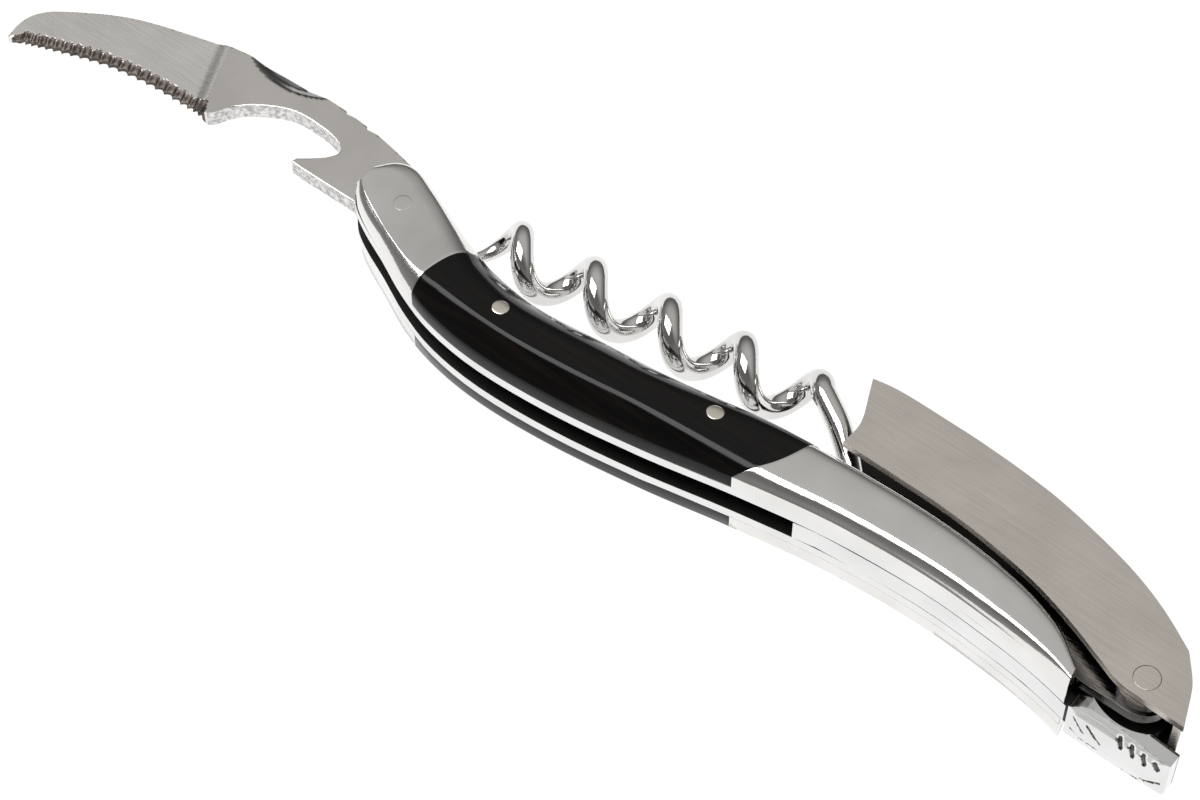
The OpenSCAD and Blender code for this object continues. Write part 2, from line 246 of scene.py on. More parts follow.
# %% Steel
def steel(name, colour, rough, spread, along=(1, 0, 0), fine=9000.0, drawn=60.0, depth=0.02, cloud=0.04,
          patch=160.0):
    """Steel rubbed along a direction: fine is the scratches' scale, and drawn is how much longer than wide they are."""
    material = bpy.data.materials.new(name)
    tree = node_tree(material)
    shader = add(tree, "ShaderNodeBsdfPrincipled")
    shader.inputs["Metallic"].default_value = 1.0
    where = add(tree, "ShaderNodeTexCoord").outputs["Object"]
    turn = Vector((1, 0, 0)).rotation_difference(Vector(along)).inverted().to_euler()
    rub = add(tree, "ShaderNodeMapping", vector_type="POINT")
    rub.inputs["Rotation"].default_value = turn
    rub.inputs["Scale"].default_value = (fine / drawn, fine, fine)
    tree.links.new(where, rub.inputs["Vector"])
    lines = add(tree, "ShaderNodeTexNoise")
    lines.inputs["Scale"].default_value = 1.0
    lines.inputs["Detail"].default_value = 3.0
    tree.links.new(rub.outputs[0], lines.inputs["Vector"])
    patches = add(tree, "ShaderNodeTexNoise")
    patches.inputs["Scale"].default_value = patch
    patches.inputs["Detail"].default_value = 2.0
    tree.links.new(where, patches.inputs["Vector"])
    tint = add(tree, "ShaderNodeMix", data_type="RGBA")
    tree.links.new(ramp(tree, patches.outputs["Fac"], 0.3, 0.7, 0, 1), tint.inputs[0])
    tint.inputs[6].default_value = (*[c * (1 - cloud) for c in colour], 1)
    tint.inputs[7].default_value = (*[min(1, c * (1 + cloud)) for c in colour], 1)
    tree.links.new(tint.outputs[2], shader.inputs["Base Color"])
    tree.links.new(ramp(tree, lines.outputs["Fac"], 0.3, 0.7, rough - spread, rough + spread),
                   shader.inputs["Roughness"])
    bump = add(tree, "ShaderNodeBump")
    bump.inputs["Strength"].default_value = depth
    bump.inputs["Distance"].default_value = 0.0001
    tree.links.new(lines.outputs["Fac"], bump.inputs["Height"])
    tree.links.new(bump.outputs[0], shader.inputs["Normal"])
    tree.links.new(shader.outputs[0], add(tree, "ShaderNodeOutputMaterial").inputs[0])
    return material


# %% [markdown]
# ## Bright, satin and dark
#
# The bolsters, the springs and the worm are close to mirrors. The blade and the lever are satin, rubbed across and
# along. The sawn cuts are rougher and darker. The ground scallops are rougher, and they and the nail nick are painted
# darker, as painted dark reflections. All the steel inside, in the slot and between the lever's walls, is painted
# near black, as painted shade.

# %% Finishes
across_blade, along_lever = (0.4, -0.91, 0), (0.93, -0.36, 0)
bolster_finish = steel("bolster_rubbed_steel", (0.80, 0.787, 0.765), 0.13, 0.03, depth=0.05)
liner_finish = steel("liner_bright_steel", (0.79, 0.79, 0.785), 0.16, 0.04, depth=0.05)
spring_finish = steel("spring_polished_steel", (0.77, 0.77, 0.765), 0.10, 0.03, depth=0.04)
blade_finish = steel("blade_ground_steel", (0.80, 0.78, 0.755), 0.30, 0.05, along=across_blade, depth=0.10)
neck_finish = steel("blade_satin_steel", (0.755, 0.73, 0.705), 0.22, 0.03, along=across_blade, depth=0.04)
cut_finish = steel("blade_rough_cut_steel", (0.62, 0.61, 0.60), 0.34, 0.12, fine=2600, drawn=1.0, depth=1.0,
                   cloud=0.32, patch=1900.0)
# The scallops are painted near black, a painted dark reflection and not a colour of the steel.
scallop_painted_dark = steel("blade_scallop_steel", (0.115, 0.098, 0.088), 0.45, 0.08, fine=6000, drawn=1.0, depth=0.3,
                     cloud=0.25, patch=900.0)
# The nail nick is painted darker than the blade, a painted dark reflection in its hollow.
nick_painted_dark = steel("nail_nick_steel", (0.36, 0.35, 0.35), 0.14, 0.03, depth=0.03, cloud=0.3, patch=500.0)
# Glossy dark grey painted shade, for the liners' cheeks under the lever, the washers and the forged head's grooves.
glossy_painted_shade = steel("glossy_steel_painted_shade", (0.10, 0.095, 0.09), 0.16, 0.05, along=along_lever, depth=0.3,
                     cloud=0.3)
# Near black painted shade, for the steel in the blade's slot, between the lever's walls and in the gaps.
painted_shade_steel = steel("dark_steel_painted_shade", (0.035, 0.033, 0.032), 0.55, 0.05, depth=0.1)
worm_finish = steel("worm_polished_steel", (0.71, 0.70, 0.685), 0.08, 0.03, depth=0.04, cloud=0.06)
lever_finish = steel("lever_satin_steel", (0.68, 0.637, 0.588), 0.30, 0.05, along=along_lever, depth=0.07)
pin_finish = steel("pin_turned_steel", (0.62, 0.62, 0.62), 0.25, 0.05, depth=0.05)
nickel_finish = steel("rivet_nickel_silver", (0.84, 0.80, 0.70), 0.20, 0.04, depth=0.05)
print("finishes", [m.name for m in bpy.data.materials if "steel" in m.name or "nickel" in m.name])

# %% [markdown]
# ## Ebony
#
# Polished ebony is almost black, with brown lines that only show close up. Its gloss comes from the polish, so the
# shader is a dark wood with a low roughness, and fine pores that follow the grain break the shine a little.

# %% Ebony finish
ebony = bpy.data.materials.new("ebony_polished")
tree = node_tree(ebony)
wood = add(tree, "ShaderNodeBsdfPrincipled")
grain_map = add(tree, "ShaderNodeMapping")
grain_map.inputs["Scale"].default_value = (60, 1500, 900)
grain_map.inputs["Rotation"].default_value = (0, 0, 0.05)
tree.links.new(add(tree, "ShaderNodeTexCoord").outputs["Object"], grain_map.inputs["Vector"])
grain = add(tree, "ShaderNodeTexNoise")
grain.inputs["Scale"].default_value = 1.0
grain.inputs["Detail"].default_value = 5.0
grain.inputs["Distortion"].default_value = 0.4
tree.links.new(grain_map.outputs[0], grain.inputs["Vector"])
colours = add(tree, "ShaderNodeMix", data_type="RGBA")
tree.links.new(ramp(tree, grain.outputs["Fac"], 0.42, 0.72, 0, 1), colours.inputs[0])
colours.inputs[6].default_value = (0.0015, 0.0012, 0.0011, 1)
colours.inputs[7].default_value = (0.0055, 0.0035, 0.0028, 1)
tree.links.new(colours.outputs[2], wood.inputs["Base Color"])
tree.links.new(ramp(tree, grain.outputs["Fac"], 0.3, 0.75, 0.11, 0.17), wood.inputs["Roughness"])
wood.inputs["Specular IOR Level"].default_value = 0.25
pores = add(tree, "ShaderNodeBump")
pores.inputs["Strength"].default_value = 0.05
pores.inputs["Distance"].default_value = 0.00005
tree.links.new(grain.outputs["Fac"], pores.inputs["Height"])
tree.links.new(pores.outputs[0], wood.inputs["Normal"])
tree.links.new(wood.outputs[0], add(tree, "ShaderNodeOutputMaterial").inputs[0])
print("ebony", len(tree.nodes), "nodes")

# %% [markdown]
# ## The rounded handle
#
# The bolsters and the scales are filed as one: a slab with straight sides that swells in the middle of the handle
# and leans to the back. Two lines run along the handle, its back edge and its belly edge. A section stands between
# them at every place, as pairs of a share of the way across and a share of the height. The handle is slim at its
# ends, full in its middle, and blunt at its nose.

# %% Handle lines
back_line = [
    (-60.4, -0.6), (-58.8, -2.2), (-56, -3.8), (-52, -5.6), (-46.6, -8.2), (-40.5, -10.2), (-32.5, -11.1),
    (-22, -10.6), (-10, -8.9), (2, -6.5), (14, -4.6), (26, -3.9), (36, -4.4), (42.5, -5.2), (46.8, -6.1),
]
belly_line = [
    (-60.3, 2.8), (-58.4, 5.1), (-55.6, 5.8), (-51.2, 4.2), (-45, 1.8), (-39, 0.2), (-32, -0.5),
    (-23, 0.3), (-11.5, 1.4), (0.5, 2.8), (13, 3.5), (24.5, 3.5), (34.5, 2.3), (41.5, 0), (46.4, -3.7),
]
slim_section = [
    (0, 0.6), (0.02, 0.66), (0.06, 0.79), (0.12, 0.91), (0.2, 0.98), (0.35, 1),
    (0.65, 1), (0.8, 0.94), (0.9, 0.79), (0.97, 0.54), (1, 0.34),
]
full_section = [
    (0, 0.35), (0.02, 0.46), (0.1, 0.66), (0.2, 0.865), (0.27, 0.968), (0.33, 0.992),
    (0.55, 1), (0.7, 0.86), (0.83, 0.6), (0.94, 0.27), (1, 0.06),
]
nose_section = [
    (0, 0.66), (0.015, 0.76), (0.05, 0.87), (0.095, 0.94), (0.14, 0.975), (0.3, 0.995),
    (0.65, 1), (0.8, 0.97), (0.92, 0.87), (0.98, 0.68), (1, 0.5),
]
liner_outside = 3.1
crown_height, swell_height = 3.5, 1.3
print("handle", round(back_line[-1][0] - back_line[0][0], 1), "mm long")

# %% [markdown]
# ## From lines to a surface
#
# A smooth curve goes through the points of each line and each section. With both, any pair of shares, along the
# handle and across it, gives one point on its surface. The swell fades in and out smoothly, so no step shows.

# %% Handle surface
swell_centre, swell_flat, swell_fade = -24, 8, 24
nose_start, nose_fade = -42, 10
tip_start, tip_fade, tip_bulge = -52, 8, 0.9


def smooth_line(points, share):
    points = np.array(points, float)
    at = np.clip(np.asarray(share, float), 0, 1) * (len(points) - 1)
    i = np.minimum(at.astype(int), len(points) - 2)
    t = (at - i)[..., None]
    a, b = points[np.maximum(i - 1, 0)], points[i]
    c, d = points[i + 1], points[np.minimum(i + 2, len(points) - 1)]
    return 0.5 * (2 * b + (c - a) * t + (2 * a - 5 * b + 4 * c - d) * t**2 + (3 * b - a - 3 * c + d) * t**3)


def smooth_step(t):
    return t * t * (3 - 2 * t)


def handle_surface(along, across):
    """Points on the handle for shares along it and over its section."""
    back, belly = smooth_line(back_line, along), smooth_line(belly_line, along)
    off_centre = np.abs((back[..., 0] + belly[..., 0]) / 2 - swell_centre)
    swell = (1 - smooth_step(np.clip((off_centre - swell_flat) / swell_fade, 0, 1)))[..., None]
    slim, full = smooth_line(slim_section, across), smooth_line(full_section, across)
    section = slim + swell * (full - slim)
    nose = np.clip((nose_start - back[..., :1]) / nose_fade, 0, 1)
    section = section + nose * (smooth_line(nose_section, across) - section)
    flat = back + section[..., :1] * (belly - back)
    flat[..., 0] += (np.clip((tip_start - back[..., 0]) / tip_fade, 0, 1) * section[..., 1] ** 3) * tip_bulge
    height = (crown_height + swell_height * swell) * section[..., 1:]
    return np.concatenate([flat, liner_outside + height], axis=-1)


crest = handle_surface(np.array([0.45]), np.array([0.5]))[0]
print("crest at", np.round(crest, 2))

# %% [markdown]
# ## Curved joints
#
# Steel and ebony meet along two arcs. Each is a circle seen from above, with a centre and a radius, and the side of
# the centre that it is cut on. Along every line of the grid, the place where the surface crosses the circle is found,
# and the part's grid ends there.

# %% Curved joints
front_joint = ((-28.4, -8.75), 15.8, -1)
rear_joint = ((-9.0, 4.9), 15.5, 1)
samples = 1500


def joint_share(across, centre, radius, towards):
    """How far along the handle each line of the grid meets a curved joint."""
    along = np.linspace(0, 1, samples)
    shares = []
    for v in across:
        line = handle_surface(along, np.full_like(along, v))
        outside = np.hypot(line[:, 0] - centre[0], line[:, 1] - centre[1]) - radius
        i = next(i for i in range(samples - 1)
                 if outside[i] * outside[i + 1] <= 0 and (line[i, 0] - centre[0]) * towards > 0)
        shares.append(along[i] + (along[1] - along[0]) * outside[i] / (outside[i] - outside[i + 1] + 1e-12))
    return np.array(shares)


print("ebony from", joint_share([0.5], *front_joint).round(3), "to", joint_share([0.5], *rear_joint).round(3))

# %% [markdown]
# ## One part of the handle
#
# Each bolster or scale starts as a flat grid, which is laid over the handle's surface between its two joints. Its rim
# is extruded straight down to the liner and the bottom is closed. The upper rim is then broken with a small bevel,
# and the nose gets a rounder one.

# %% Handle part
nose_front = -59.8


def handle_part(start, end, length_cells, width_cells, rim, nose=0.0):
    bm = bmesh.new()
    bmesh.ops.create_grid(bm, x_segments=length_cells, y_segments=width_cells, size=1)
    grid = np.array([v.co[:2] for v in bm.verts]) / 2 + 0.5
    across = np.array(sorted(set(np.round(grid[:, 1], 6))))
    first = joint_share(across, *start) if start else np.zeros(len(across))
    last = joint_share(across, *end) if end else np.ones(len(across))
    column = np.searchsorted(across, np.round(grid[:, 1], 6))
    along = first[column] + (last[column] - first[column]) * grid[:, 0]
    for v, point in zip(bm.verts, handle_surface(along, grid[:, 1])):
        v.co = point
    rim_edges = [e for e in bm.edges if e.is_boundary]
    walls = bmesh.ops.extrude_edge_only(bm, edges=rim_edges)["geom"]
    for v in [g for g in walls if isinstance(g, bmesh.types.BMVert)]:
        v.co.z = liner_outside
    bmesh.ops.holes_fill(bm, edges=[e for e in bm.edges if e.is_boundary], sides=0)
    bmesh.ops.recalc_face_normals(bm, faces=bm.faces)
    if nose:
        front = [e for e in rim_edges if e.is_valid and max(v.co.x for v in e.verts) < nose_front]
        soften(bm, front, nose, 4)
    soften(bm, [e for e in sharp_edges(bm, 38) if min(v.co.z for v in e.verts) > liner_outside + 0.05], rim, 2)
    return bm


def both_sides(bm, name, nodes, materials):
    """The upper part as made, and its mirror image on the lower side."""
    lower = bm.copy()
    bmesh.ops.transform(lower, matrix=Matrix.Scale(-1, 4, (0, 0, 1)), verts=lower.verts)
    bmesh.ops.reverse_faces(lower, faces=lower.faces)
    top = hand_over(bm, name + "_upper", "handle", [nodes[0]], materials)
    low = hand_over(lower, name + "_lower", "handle", [nodes[1]], materials)
    return top, low


# %% [markdown]
# ## Bolsters and scales
#
# The same helper makes all three, because on the real knife they are filed together. The ebony's rim is broken less
# than the steel's, so that the joints stay tight.

# %% Bolsters and scales
front_bolsters = both_sides(handle_part(None, front_joint, 60, 56, 0.10, nose=0.5), "front_bolster_body",
                            ["front_bolster_top", "front_bolster_bottom"], [bolster_finish])
scales = both_sides(handle_part(front_joint, rear_joint, 130, 56, 0.06), "ebony_scale",
                    ["scale_top", "scale_bottom"], [ebony])
both_sides(handle_part(rear_joint, None, 130, 56, 0.10), "rear_bolster_body",
           ["rear_bolster_top", "rear_bolster_bottom"], [bolster_finish])

# %% [markdown]
# ## Rivets
#
# The rivets are hammered flush and polished with the handle, so their heads follow its surface. Each one starts as
# a cylinder with a few rings on its cap, and the cap is dropped onto the handle from above.

# %% Rivet heads
surfaces = {}
for key, piece in (("front", front_bolsters[0]), ("scale", scales[0])):
    shape = bmesh.new()
    shape.from_mesh(piece.data)
    shape.transform(to_bench)
    surfaces[key] = BVHTree.FromBMesh(shape)
    shape.free()


def rivet(at, radius, low, surface, stand, rings=4):
    """A rivet from a low end up to a surface, with its head standing a little above it."""
    bm = bmesh.new()
    bmesh.ops.create_cone(bm, cap_ends=True, segments=48, radius1=radius, radius2=radius, depth=1)
    for v in bm.verts:
        v.co += Vector((at[0], at[1], 0))
    cap = [f for f in bm.faces if f.normal.z > 0.9]
    for k in range(rings):
        bmesh.ops.inset_region(bm, faces=cap, thickness=0.07 if k == 0 else radius / (rings + 1), use_even_offset=True)
    for v in bm.verts:
        if v.co.z < 0:
            v.co.z = low
        else:
            hit = surfaces[surface].ray_cast(Vector((v.co.x, v.co.y, 30)), Vector((0, 0, -1)))[0]
            out = (Vector((v.co.x, v.co.y)) - Vector(at)).length / radius
            v.co.z = hit.z + stand * (1 - out**4) - (0.03 if out > 0.995 else 0)
    bmesh.ops.recalc_face_normals(bm, faces=bm.faces)
    return bm


for end, spot in (("front", (-33.3, -5.6)), ("rear", (-4.7, -1.7))):
    both_sides(rivet(spot, 1.1, 1.6, "scale", 0.03), end + "_scale_rivet",
               [end + "_rivet_top", end + "_rivet_bottom"], [nickel_finish])

# %% [markdown]
# ## The blade's pin
#
# One pin goes right through the front bolsters, and it is filed down until only a faint ring shows. It is made as a
# rivet's upper half, open at the middle of the handle, and mirrored onto its lower half.

# %% Blade pin
blade_pin_at = (-53.1, 0)
pin = rivet(blade_pin_at, 1.25, 0, "front", 0.012)
bmesh.ops.delete(pin, geom=[f for f in pin.faces if f.normal.z < -0.9], context="FACES_ONLY")
bmesh.ops.mirror(pin, geom=pin.verts[:] + pin.edges[:] + pin.faces[:], matrix=Matrix.Identity(4), merge_dist=0.01,
                 axis="Z")
bmesh.ops.recalc_face_normals(pin, faces=pin.faces)
hand_over(pin, "blade_pin_body", "handle", ["blade_pivot_pin"], [bolster_finish])

# %% [markdown]
# ## Liners and the blade's spring
#
# These are cut from sheet, and the CAD parts already have the right outline. A merged copy only needs its edges
# broken, as a file does on the real one, so that each edge catches a thread of light. The faces inside the blade's
# slot and between the lever's walls are painted dark, as painted shade.

# %% Plates
slot_half, liner_flat, leaf_half = 1.74, 2.95, 1.44
handle_end, worm_room = 46.7, 7.5


def broken_edges(node, name, body, materials, width, dark=None):
    bm = copy_of(node)
    soften(bm, sharp_edges(bm), width)
    # Faces that dark picks take the second material, which is painted shade.
    if dark:
        for f in bm.faces:
            f.material_index = 1 if dark(f) else 0
    return hand_over(bm, name, body, [node], materials, crease=30, flats=True)


# Liner faces that get painted shade: in the blade's slot, under the bolsters, past the handle's end and on the cheeks
# under the lever.
def liner_painted_shade_faces(f):
    c = f.calc_center_median()
    belly = np.interp(c.x, [p[0] for p in belly_line], [p[1] for p in belly_line])
    hidden_flat = abs(c.z) > liner_flat and abs(f.normal.z) > 0.9
    return abs(c.z) < slot_half or hidden_flat or c.x > handle_end or (c.x > worm_room and c.y > belly + 0.02)


# The leaf's sides against the liners get painted shade.
def leaf_painted_shade_faces(f):
    return abs(f.calc_center_median().z) > leaf_half and abs(f.normal.z) > 0.3


def paint_shade_on_cheeks(piece):
    """The cheeks outside the slot get the glossier dark colour, painted shade from the lever's walls where some light
    still reaches them.
    """
    for polygon in piece.data.polygons:
        if polygon.material_index == 1 and abs(polygon.center.z - bench_origin[2]) > slot_half * 0.001:
            polygon.material_index = 2


for node, name in (("liner_top", "liner_plate_upper"), ("liner_bottom", "liner_plate_lower")):
    paint_shade_on_cheeks(broken_edges(node, name, "handle", [liner_finish, painted_shade_steel, glossy_painted_shade], 0.14,
                             dark=liner_painted_shade_faces))
broken_edges("blade_spring", "blade_spring_leaf", "handle", [spring_finish, painted_shade_steel], 0.16,
             dark=leaf_painted_shade_faces)

# %% [markdown]
# ## The foil cutter
#
# The blade is ground from both faces towards its tip, down from the thick neck in a rounded shoulder. Its edge has
# a row of ground scallops, the spine has a polished nail nick, and the cap lifter is sawn and left rough. The CAD
# outline gets its edges broken, all but the cutting edge, and is sliced into a fine net with bisecting planes.

# %% Blade net
blade = copy_of("blade")
edge_points = [(-60.5, -6.9), (-58, -6.1), (-53.5, -4.4), (-47.5, -2.5), (-40.8, -1.5), (-34.5, -1.3), (-31.6, -1)]
edge_steps = 1200
edge_line = smooth_line(edge_points, np.linspace(0, 1, edge_steps + 1)) + np.array(blade_pin_at)


def blade_rims():
    """The sharp edges along the blade's outline, away from its cutting edge."""
    found = []
    for e in sharp_edges(blade, 70):
        middle = np.array(((e.verts[0].co + e.verts[1].co) / 2)[:2])
        if e.verts[0].co.z * e.verts[1].co.z > 0 and np.min(np.hypot(*(edge_line - middle).T)) > 0.7:
            found.append(e)
    return found


def on_lifter(e):
    return -84 < e.verts[0].co.x < -60 and e.verts[0].co.y < 7


soften(blade, [e for e in blade_rims() if on_lifter(e)], 0.24)
soften(blade, [e for e in blade_rims() if not on_lifter(e)], 0.13, 1)
slices = [(x, 0) for x in np.concatenate([np.arange(-113.9, -86.6, 0.16), np.arange(-86.6, -48.5, 0.3)])]
slices += [(y, 1) for y in np.concatenate([np.arange(-7.0, 1.0, 0.2), np.arange(1.0, 10.4, 0.3)])]


def slice_through(bm, geom, value, axis):
    point, normal = Vector((0, 0, 0)), Vector((0, 0, 0))
    point[axis], normal[axis] = value, 1
    bmesh.ops.bisect_plane(bm, geom=geom, dist=1e-5, plane_co=point, plane_no=normal)


for value, axis in slices:
    slice_through(blade, blade.verts[:] + blade.edges[:] + blade.faces[:], value, axis)
print("blade net", len(blade.faces), "faces")

# %% [markdown]
# ## Scallops
#
# Every point of the net knows its nearest place on the cutting edge and how far inside it lies. A grinding wheel cuts
# deepest at the edge and nothing at the end of its reach, and that reach swings in and out once for each scallop.

# %% Scallops
points = np.array([v.co[:] for v in blade.verts])
flat = points[:, :2]
side_of = np.sign(points[:, 2]) * (np.abs(points[:, 2]) > 0.9)
nearest = np.concatenate([np.argmin(np.hypot(*(edge_line[None] - part[:, None]).transpose(2, 0, 1)), axis=1)
                          for part in np.array_split(flat, 60)])
inward = flat[:, 1] - edge_line[nearest, 1]
share = nearest / edge_steps
teeth, first_tooth, last_tooth, edge_heel = 23, 0.12, 0.93, -84.8
scallop = np.abs(np.sin(np.pi * teeth * (share - first_tooth) / (last_tooth - first_tooth)))
scallop = np.where((share > first_tooth) & (share < last_tooth), scallop, 0)
reach = (1.05 + 0.55 * scallop) * np.clip((0.97 - share) / 0.05, 0, 1) * np.clip((share - 0.02) / 0.1, 0, 1)
ground = np.clip((reach - inward) * 0.62, 0, 0.9) * (inward < 2) * (flat[:, 0] < edge_heel)
print("scallops", teeth, "up to", round(float(ground.max()), 2), "mm deep")

# %% [markdown]
# ## Shoulder and nail nick
#
# The shoulder is a smooth step across the blade, with a slight taper past it towards the tip. The nail nick is what a
# round wheel leaves where it meets the spine. All three cuts are added up, and the net's points are lowered by the
# sum. Two shallow steps are then filed into the spine by the bolster.

# %% Grinding
shoulder = np.array([-89.7, 8.2]), np.array([-85.7, -0.9])
way = (shoulder[1] - shoulder[0]) / np.linalg.norm(shoulder[1] - shoulder[0])
outward = np.array([way[1], -way[0]])
past = (flat - shoulder[0]) @ outward
taper = 0.5 * smooth_step(np.clip((past + 0.2) / 1.9, 0, 1)) + np.clip(past, 0, 30) * 0.004
wheel_at, wheel_radius = (-80.7, 18.85), 10.9
half_thick, deepest = 1.2, 1.08
nick = np.clip((wheel_radius - np.hypot(flat[:, 0] - wheel_at[0], flat[:, 1] - wheel_at[1])) * 0.55, 0, 0.75)
for v, lower, up_or_down in zip(blade.verts, np.minimum(ground + taper + nick, deepest), side_of):
    v.co.z -= lower * up_or_down
step_reach, step_depth, spine_low = 0.75, 0.34, 8.6
for x in (-70.2, -66.4):
    for v in blade.verts:
        if abs(v.co.x - x) < step_reach and v.co.y > spine_low:
            v.co.y -= step_depth * (1 - (v.co.x - x + step_reach) / (2 * step_reach)) * min(
                1, (v.co.y - spine_low) / 0.8)
print("thinnest grinding leaves", round(2 * (half_thick - deepest), 2), "mm")

# %% [markdown]
# ## Three finishes, two painted reflections and a painted shade on one blade
#
# Each face takes its colour from what was done to it or from where it lies: ground blade, satin neck, rough cut,
# scallop and nick painted dark as painted reflections, or the tang's sides in painted shade. The order of the tests
# matters, because a scallop's face is also a part of the ground blade.

# %% Blade finish
NECK, CUT, TOOTH, NICK, TANG_SHADE = 1, 2, 3, 4, 5
tang_radius = 5.6
in_scallop = dict(zip(blade.verts, ground * (share > 0.06) * (share < 0.95)))
in_nick = dict(zip(blade.verts, nick * (np.abs(points[:, 2]) > 0.9)))


def blade_finish_of(f):
    c = f.calc_center_median()
    if max(in_scallop[v] for v in f.verts) > 0.02:
        return TOOTH
    if any(in_nick[v] > 0.02 for v in f.verts):
        return NICK
    # The tang's sides, inside the bolsters, get painted shade.
    if math.hypot(c.x - blade_pin_at[0], c.y) < tang_radius and abs(f.normal.z) < 0.9:
        return TANG_SHADE
    if abs(f.normal.z) < 0.55 and -84.6 < c.x < -60.5 and c.y < 6.6:
        return CUT
    return NECK if (np.array(c[:2]) - shoulder[0]) @ outward < -0.2 else 0


for f in blade.faces:
    f.material_index = blade_finish_of(f)
hand_over(blade, "foil_cutter_blade", "blade", ["blade"],
          [blade_finish, neck_finish, cut_finish, scallop_painted_dark, nick_painted_dark, painted_shade_steel], crease=28)

# %% [markdown]
# ## The worm
#
# A worm is one straight wire wound round a rod. Here a ring of points is spun round the coil's axis a few degrees
# at a time and moved along with each step, which draws the wire, and each new ring is scaled to the wire's width
# there, so that it thins to a point.

# %% Worm wire
lean = math.radians(5.8)
coil_axis = Vector((math.cos(lean), math.sin(lean), 0))
coil_side = Vector((-math.sin(lean), math.cos(lean), 0))
coil_end = Vector((-0.5, 10.2, 0))
coil_radius, pitch, turn_step = 2.9, 10.5, 6.0
tip_angle, root_angle = -1600.0, 80.0
wire_sides = 28


def wire_radius(angle):
    return 1.5 * (1 - 0.94 * math.exp(-(angle - tip_angle) / 90))


def coil_point(angle):
    a = math.radians(angle)
    return coil_end + coil_axis * (pitch * angle / 360) + coil_radius * (
        math.cos(a) * coil_side + math.sin(a) * Vector((0, 0, 1)))


wire = bmesh.new()
heading = (coil_point(tip_angle + 1) - coil_point(tip_angle - 1)).normalized()
ring = bmesh.ops.create_circle(wire, cap_ends=False, segments=wire_sides, radius=wire_radius(tip_angle))["verts"]
to_tip = Matrix.Translation(coil_point(tip_angle)) @ heading.to_track_quat("Z", "Y").to_matrix().to_4x4()
bmesh.ops.transform(wire, matrix=to_tip, verts=ring)
ring_edges = wire.edges[:]
angle = tip_angle
while angle < root_angle - 1e-6:
    spun = bmesh.ops.spin(wire, geom=ring_edges, cent=coil_end, axis=coil_axis,
                          dvec=coil_axis * pitch * turn_step / 360, angle=math.radians(turn_step), steps=1,
                          use_merge=False)
    ring_edges = [g for g in spun["geom_last"] if isinstance(g, bmesh.types.BMEdge)]
    ring = [g for g in spun["geom_last"] if isinstance(g, bmesh.types.BMVert)]
    centre = sum((v.co for v in ring), Vector()) / len(ring)
    factor = wire_radius(angle + turn_step) / wire_radius(angle)
    bmesh.ops.scale(wire, vec=(factor,) * 3, space=Matrix.Translation(-centre), verts=ring)
    angle += turn_step
print("coil", len(wire.verts) // wire_sides, "rings")

# %% [markdown]
# ## From the coil into the handle
#
# The last rings leave the coil and lead straight to the worm's pin. A spin can't follow a free line, so the rim is
# extruded here, and each new ring is moved to the next point, turned to the new heading and scaled to its width. A
# round eye on the pin takes the end of the wire.

# %% Worm shank
worm_pin_at = (14, 1.2)
shank = [tuple(coil_point(root_angle - turn_step)), tuple(coil_point(root_angle)), (5.4, 8.8, 2.3), (8.1, 6.9, 1.2),
         (10.5, 4.9, 0.15), (12.4, 3, 0), (13.6, 1.7, 0)]
widths = [(1.5,), (1.5,), (1.5,), (1.4,), (1.3,), (1.25,), (1.2,)]
steps = np.linspace(1 / 6, 1, 41)[1:]
path, path_width = smooth_line(shank, steps), smooth_line(widths, steps)[:, 0]
old_way = (coil_point(root_angle) - coil_point(root_angle - 1)).normalized()
old_width, old_centre = wire_radius(root_angle), coil_point(root_angle)
for i, (centre, width) in enumerate(zip(path, path_width)):
    centre = Vector(centre)
    new_way = (Vector(path[min(i + 1, len(path) - 1)]) - (Vector(path[i - 1]) if i else old_centre)).normalized()
    made = bmesh.ops.extrude_edge_only(wire, edges=ring_edges)["geom"]
    made_edges = [g for g in made if isinstance(g, bmesh.types.BMEdge)]
    ring_edges = [e for e in made_edges if all(len(v.link_faces) < 3 for v in e.verts)]
    ring = list({v for e in ring_edges for v in e.verts})
    bmesh.ops.translate(wire, vec=centre - old_centre, verts=ring)
    bmesh.ops.rotate(wire, cent=centre, matrix=old_way.rotation_difference(new_way).to_matrix(), verts=ring)
    bmesh.ops.scale(wire, vec=(width / old_width,) * 3, space=Matrix.Translation(-centre), verts=ring)
    old_centre, old_way, old_width = centre, new_way, width
bmesh.ops.holes_fill(wire, edges=[e for e in wire.edges if e.is_boundary], sides=0)
eye_verts = bmesh.ops.create_cone(wire, cap_ends=True, segments=48, radius1=2.9, radius2=2.9, depth=2.6)["verts"]
bmesh.ops.translate(wire, vec=Vector((*worm_pin_at, 0)), verts=eye_verts)
soften(wire, [e for e in sharp_edges(wire, 60) if all(v in set(eye_verts) for v in e.verts)], 0.2)
bmesh.ops.recalc_face_normals(wire, faces=wire.faces)
hand_over(wire, "worm_coil", "worm", ["worm"], [worm_finish], crease=40)

# %% [markdown]
# ## The lever
#
# The lever is one bent sheet: two walls and the web that joins them. The bend leaves a round outer corner along the
# web, and the cut edges of the walls are only broken. The walls' inner faces are painted dark, as painted shade. Its
# rivet is filed flush.

# %% Lever sheet
lever = copy_of("lever")
lever_outside, lever_inside = 5.7, 4.72


def on_bend(e):
    level = all(abs(abs(v.co.z) - lever_outside) < 0.01 for v in e.verts)
    return level and len(e.link_faces) == 2 and any(
        abs(f.normal.z) < 0.3 and f.calc_center_median().y > 1 and abs(f.calc_center_median().z) < 4
        for f in e.link_faces)


soften(lever, [e for e in lever.edges if on_bend(e)], 0.8, 5)
soften(lever, sharp_edges(lever, 60), 0.12)
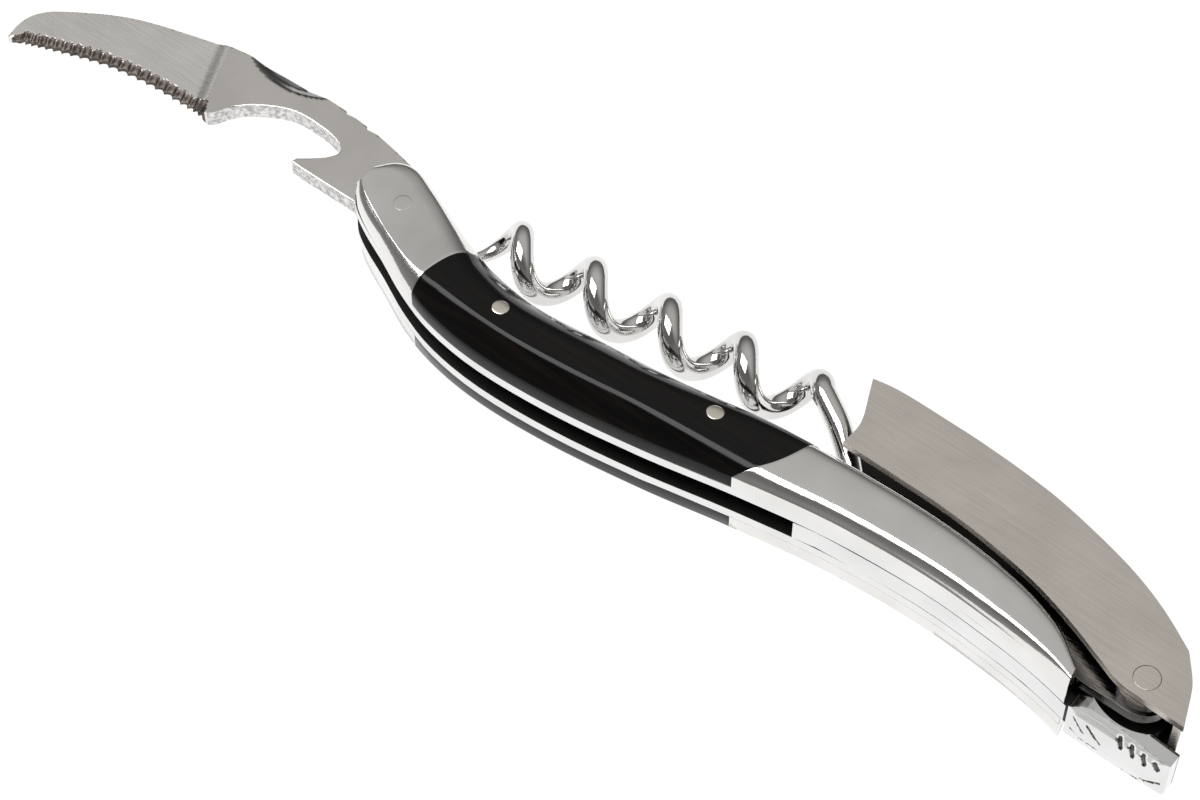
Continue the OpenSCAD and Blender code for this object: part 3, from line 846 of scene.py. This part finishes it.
# The walls' inner faces get painted shade.
for f in lever.faces:
    f.material_index = 1 if abs(f.calc_center_median().z) < lever_inside and abs(f.normal.z) > 0.9 else 0
hand_over(lever, "lever_sheet", "lever", ["lever"], [lever_finish, painted_shade_steel], crease=30, flats=True)
broken_edges("lever_rivet", "lever_rivet_body", "handle", [lever_finish], 0.06)

# %% [markdown]
# ## The lever's spring
#
# The leaf runs along the back of the handle and ends in a block that was forged and then chased with a few cuts. The
# block's edges are rounded and the leaf's are only broken. The block is then sliced into a net that is fine enough to
# hold the cuts.

# %% Lever spring
leaf = copy_of("lever_spring")
head_start = 47.3
head_edges = [e for e in sharp_edges(leaf, 18)
              if min(v.co.x for v in e.verts) > 47.5 and max(v.co.y for v in e.verts) < -4.6]
soften(leaf, head_edges, 0.75, 4)
soften(leaf, [e for e in sharp_edges(leaf, 50) if max(v.co.x for v in e.verts) < 47.7], 0.16)


def on_head(geom):
    corners = [geom] if isinstance(geom, bmesh.types.BMVert) else geom.verts
    return min(v.co.x for v in corners) > head_start


slice_through(leaf, leaf.verts[:] + leaf.edges[:] + leaf.faces[:], 47.1, 0)
head_net = ((0, np.arange(47.7, 60.6, 0.13)), (2, np.arange(-4.0, 4.1, 0.13)), (1, np.arange(-7.2, -3.0, 0.3)))
for axis, places in head_net:
    for value in places:
        slice_through(leaf, [g for g in leaf.verts[:] + leaf.edges[:] + leaf.faces[:] if on_head(g)], value, axis)
leaf.normal_update()
print("forged head", sum(on_head(f) for f in leaf.faces), "faces")

# %% [markdown]
# ## Chasing the forged head
#
# A chasing punch leaves a short groove with a round bottom. Each groove is a line on the head's outer face, and the
# net's points near that line sink along their normals, deepest on the line itself.

# %% Chased cuts
# Each cut has its two ends as (x, z), then its half width and its depth
chased = [((48.6, 1.6), (50.2, 0.4), 0.16, 0.14), ((50.4, 1.9), (52.4, 0.3), 0.16, 0.16),
          ((48.4, -1.0), (52.2, -1.3), 0.14, 0.14), ((53.2, -2.6), (57.6, -2.2), 0.18, 0.20),
          ((57.9, -1.5), (59.9, -1.2), 0.24, 0.20)]
chased += [((54.3 + k * 1.55, 2.9 - k * 0.12), (54.75 + k * 1.55, 1.9 - k * 0.12), 0.34, 0.26) for k in range(4)]
sunk = {}
for v in leaf.verts:
    if v.co.x < 47.8 or v.normal.y > -0.15:
        continue
    for (x0, z0), (x1, z1), half_width, deep in chased:
        line, here = Vector((x1 - x0, z1 - z0)), Vector((v.co.x - x0, v.co.z - z0))
        away = (here - line * max(0, min(1, here.dot(line) / line.length_squared))).length
        if away < half_width:
            sunk[v] = max(sunk.get(v, 0), deep * (1 - (away / half_width) ** 2))
for v, deep in sunk.items():
    v.co -= v.normal * deep
# Painted shade: the leaf's sides and the gap before the head go near black, and the chased grooves and the head's side
# towards the handle get the glossy painted shade.
for f in leaf.faces:
    c = f.calc_center_median()
    if leaf_painted_shade_faces(f) and c.x < 47.5 or 47.1 < c.x < 47.65:
        f.material_index = 1
    elif sum(v in sunk for v in f.verts) >= 3 or (c.y > -4.7 and c.x > 47.8):
        f.material_index = 2
print("chased cuts", len(chased))
hand_over(leaf, "lever_spring_forged", "handle", ["lever_spring"],
          [spring_finish, painted_shade_steel, glossy_painted_shade], crease=40)

# %% [markdown]
# ## Hidden pins and washers
#
# These are plain turned parts that stay inside the handle, so the CAD nodes keep their shape and only get a finish.
# The washers stand between the lever's walls, and their glossy dark colour is painted shade.

# %% Hidden pins and washers
for node in ("spring_front_pin", "spring_rear_pin", "lever_spring_front_pin", "lever_spring_rear_pin", "worm_pin",
             "lever_washer_top", "lever_washer_bottom"):
    for material_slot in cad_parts[node].material_slots:
        # The washers' dark colour is painted shade.
        material_slot.material = glossy_painted_shade if "washer" in node else pin_finish
        print(node, material_slot.material.name)
